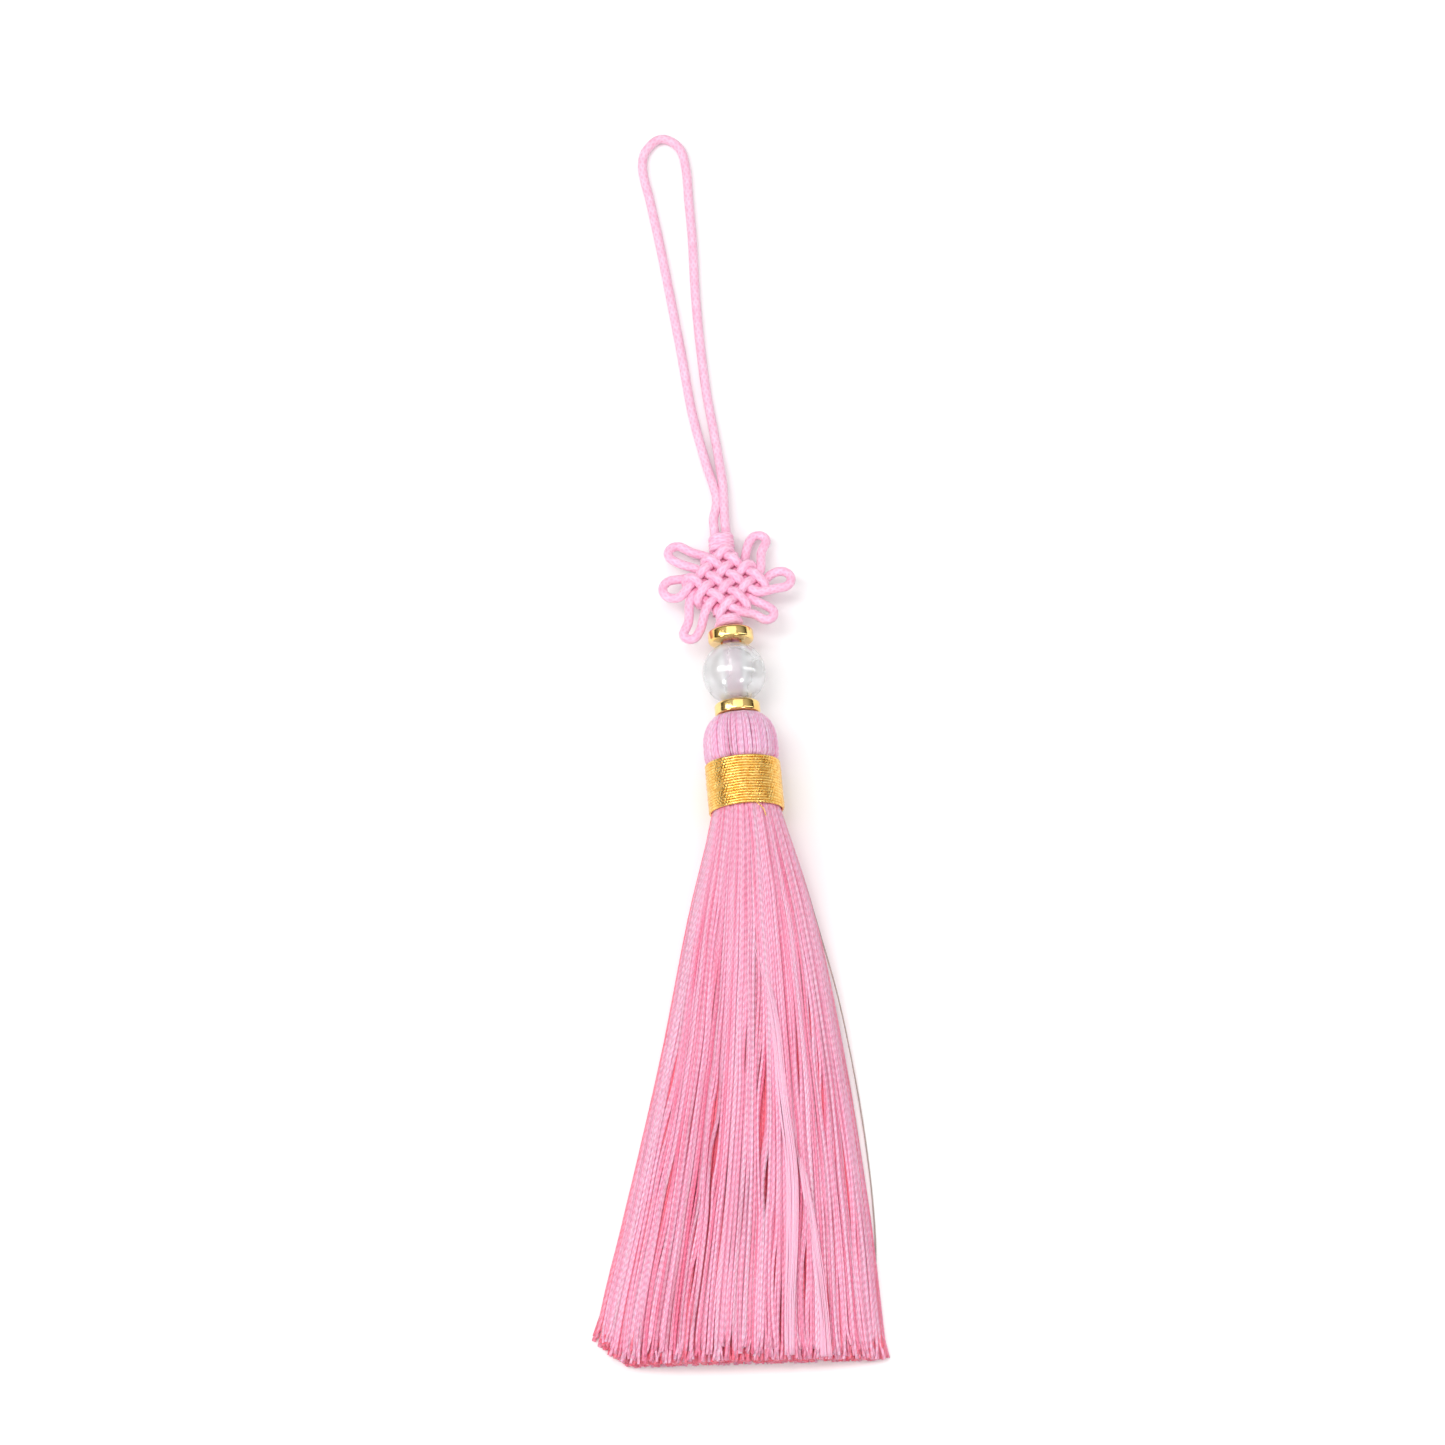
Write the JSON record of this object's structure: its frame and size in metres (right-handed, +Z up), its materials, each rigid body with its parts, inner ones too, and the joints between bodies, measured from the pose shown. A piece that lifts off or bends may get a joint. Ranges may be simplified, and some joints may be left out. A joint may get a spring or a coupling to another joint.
{
  "type": "bookmark tassel",
  "caption": "Silk floss tassel with a wound gold band, glass bead between gold discs, petalled cord knot and a long hanging loop, lying flat.",
  "frame": {"origin": "on the floor, under the middle of the object's box without the hanging loop", "axes": "+Z up from the surface it lies on, +Y towards the hanging loop, -Y towards the skirt's cut ends"},
  "size_m": [0.0426, 0.2027, 0.0119],
  "materials": {
    "silk_floss": "twisted silk floss, soft sheen",
    "gold_thread": "wound metallic gold thread",
    "polished_gold": "polished gold plate",
    "milky_glass": "milky translucent glass, polished",
    "pink_cord": "braided satin cord"
  },
  "bodies": {
    "root": {"floss_tassel": "silk_floss", "gold_band": "gold_thread", "lower_disc": "polished_gold", "upper_disc": "polished_gold", "glass_bead": "milky_glass", "cord_knot": "pink_cord", "hanging_loop": "pink_cord"}
  },
  "joints": []
}
